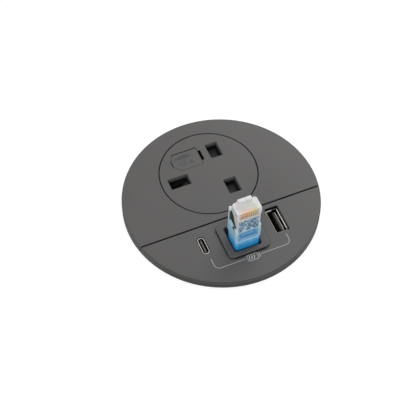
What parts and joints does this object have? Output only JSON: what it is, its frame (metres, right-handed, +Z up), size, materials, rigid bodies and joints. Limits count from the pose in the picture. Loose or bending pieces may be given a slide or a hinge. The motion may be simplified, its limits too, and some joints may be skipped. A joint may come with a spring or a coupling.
{
  "type": "desk power socket",
  "caption": "Round flush desk module with a shuttered fused socket, two USB ports and a square cable opening with a data plug, clamped by a ring nut.",
  "frame": {"origin": "centre of the flange's underside, which rests on the desk top", "axes": "+Z up out of the desk, +Y towards the half with the socket outlet, +X to the right along the split of the two covers"},
  "size_m": [0.0926, 0.0926, 0.0947],
  "materials": {
    "cover_grey": "fine satin grain",
    "insert_grey": "fine satin grain, darker than the covers",
    "base_black": "plain moulded",
    "socket_moulding": "plain moulded",
    "contact_brass": "rolled strip",
    "spring_steel": "drawn wire",
    "screw_steel": "zinc plated",
    "shell_steel": "nickel plated sheet",
    "tongue_grey": "plain moulded",
    "tongue_black": "plain moulded",
    "fuse_ceramic": "glazed ceramic",
    "cap_plate": "plated",
    "board_green": "lacquered laminate",
    "core_ferrite": "sintered",
    "coil_tape": "wrapped tape",
    "capacitor_sleeve": "shrunk sleeve",
    "plug_clear": "clear moulded",
    "contact_gold": "gold plated",
    "conductor_sleeves": "coloured insulation",
    "cable_blue": "extruded jacket",
    "boot_blue": "soft moulded",
    "lead_earth_green": "green with a yellow stripe",
    "lead_live_brown": "extruded insulation",
    "lead_neutral_blue": "extruded insulation"
  },
  "bodies": {
    "module": {"power_cover": "cover_grey", "data_cover": "cover_grey", "socket_face": "cover_grey", "housing": "cover_grey", "cable_insert": "insert_grey", "base_cover": "base_black", "power_inlet": "base_black", "socket_base": "socket_moulding", "cable_duct": "socket_moulding", "live_contact": "contact_brass", "neutral_contact": "contact_brass", "earth_contact": "contact_brass", "line_clip": "contact_brass", "inlet_pins": "contact_brass", "shutter_spring": "spring_steel", "cover_screws": "screw_steel", "socket_screws": "screw_steel", "board_screws": "screw_steel", "base_screws": "screw_steel", "usb_a_shell": "shell_steel", "usb_c_shell": "shell_steel", "usb_a_tongue": "tongue_grey", "usb_c_tongue": "tongue_black", "charger_board": "board_green", "transformer_core": "core_ferrite", "transformer_coil": "coil_tape", "capacitors": "capacitor_sleeve", "lead_earth": "lead_earth_green", "lead_live": "lead_live_brown", "lead_neutral": "lead_neutral_blue", "charger_leads": "lead_neutral_blue"},
    "shutter_bar": {"shutter": "socket_moulding"},
    "fuse_unit": {"fuse_carrier": "cover_grey", "fuse_tube": "fuse_ceramic", "fuse_caps": "cap_plate"},
    "data_plug": {"plug_body": "plug_clear", "plug_contacts": "contact_gold", "plug_conductors": "conductor_sleeves", "cable_stub": "cable_blue", "plug_boot": "boot_blue"},
    "latch": {"plug_latch": "plug_clear"},
    "washer": {"clamp_washer": "base_black"},
    "nut": {"clamp_nut": "base_black"}
  },
  "joints": [
    {"name": "shutter_slide", "type": "slide", "parent": "module", "child": "shutter_bar", "axis": [1, 0, 0], "range_m": [0, 0.0056], "stiffness_N_per_m": 60, "springref_m": -0.01, "deforming": ["shutter_spring"]},
    {"name": "fuse_slide", "type": "slide", "parent": "module", "child": "fuse_unit", "axis": [0, 0, 1], "range_m": [0, 0.032]},
    {"name": "plug_slide", "type": "slide", "parent": "module", "child": "data_plug", "axis": [0, 0, 1], "range_m": [-0.03, 0.018]},
    {"name": "latch_hinge", "type": "hinge", "parent": "data_plug", "child": "latch", "pos_m": [0, -0.02272, 0.03155], "axis": [-1, 0, 0], "range_deg": [0, 11], "stiffness_Nm_per_rad": 0.02, "springref_deg": -2.86},
    {"name": "washer_slide", "type": "slide", "parent": "module", "child": "washer", "axis": [0, 0, 1], "range_m": [-0.0141, 0.0221]},
    {"name": "nut_turn", "type": "hinge", "parent": "washer", "child": "nut", "pos_m": [0, 0, -0.034], "axis": [0, 0, 1], "range_deg": [-1260, 1980]}
  ],
  "couplings": [
    {"joint": "washer_slide", "follows": "nut_turn", "m_per_rad": 0.00063662}
  ]
}
